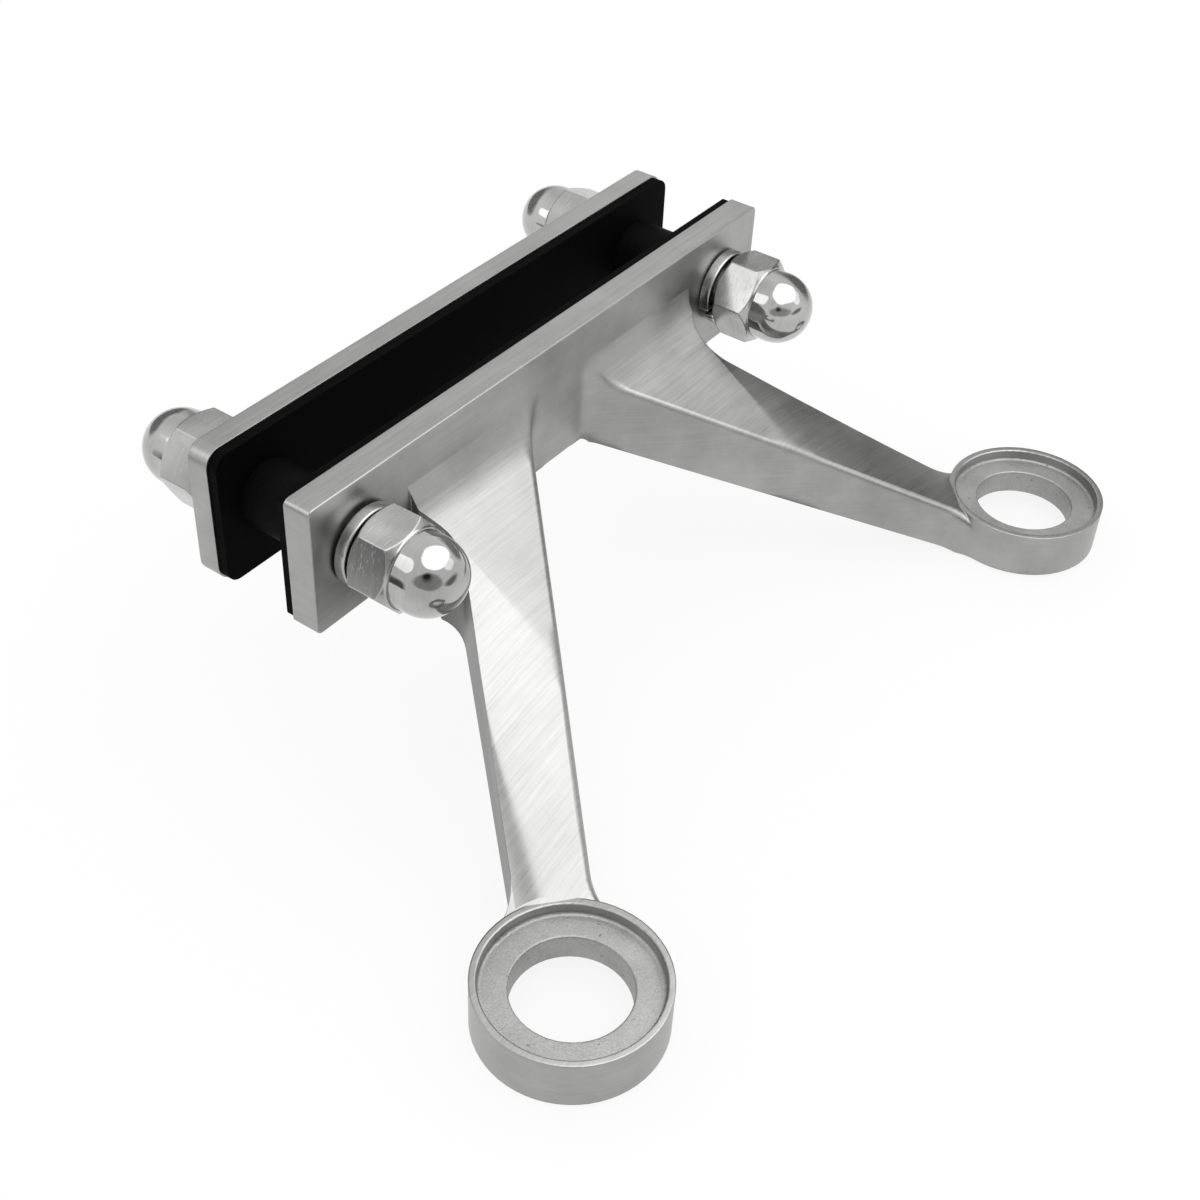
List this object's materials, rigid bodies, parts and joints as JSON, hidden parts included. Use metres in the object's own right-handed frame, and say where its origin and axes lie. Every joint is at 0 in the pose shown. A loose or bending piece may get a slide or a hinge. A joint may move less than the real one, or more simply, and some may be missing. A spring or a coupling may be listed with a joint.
{
  "type": "glass spider fitting",
  "caption": "Cast steel glass-facade spider: two arms with ring ends spread from a plate that clamps a glass fin, padded, on studs with dome nuts.",
  "frame": {"origin": "the middle of the slot for the glass fin: half way between the two pads, half way between the two studs and on the studs' axes", "axes": "+X along the clamp plates, +Y across the fin from the arms' side to the rear plate, +Z along the ring bores, away from the facade glass"},
  "size_m": [0.3, 0.2011, 0.0935],
  "materials": {
    "satin_steel": "satin, ground in one direction",
    "polished_steel": "polished",
    "washer_steel": "plain",
    "stud_steel": "plain",
    "rubber": "matte",
    "nylon": "satin"
  },
  "bodies": {
    "root": {"spider_casting": "satin_steel", "rear_plate": "satin_steel", "front_pad": "rubber", "rear_pad": "rubber", "sleeve_left": "nylon", "stud_left": "stud_steel", "nut_front_left": "polished_steel", "washer_front_left": "washer_steel", "nut_rear_left": "polished_steel", "washer_rear_left": "washer_steel", "sleeve_right": "nylon", "stud_right": "stud_steel", "nut_front_right": "polished_steel", "washer_front_right": "washer_steel", "nut_rear_right": "polished_steel", "washer_rear_right": "washer_steel"}
  },
  "joints": []
}
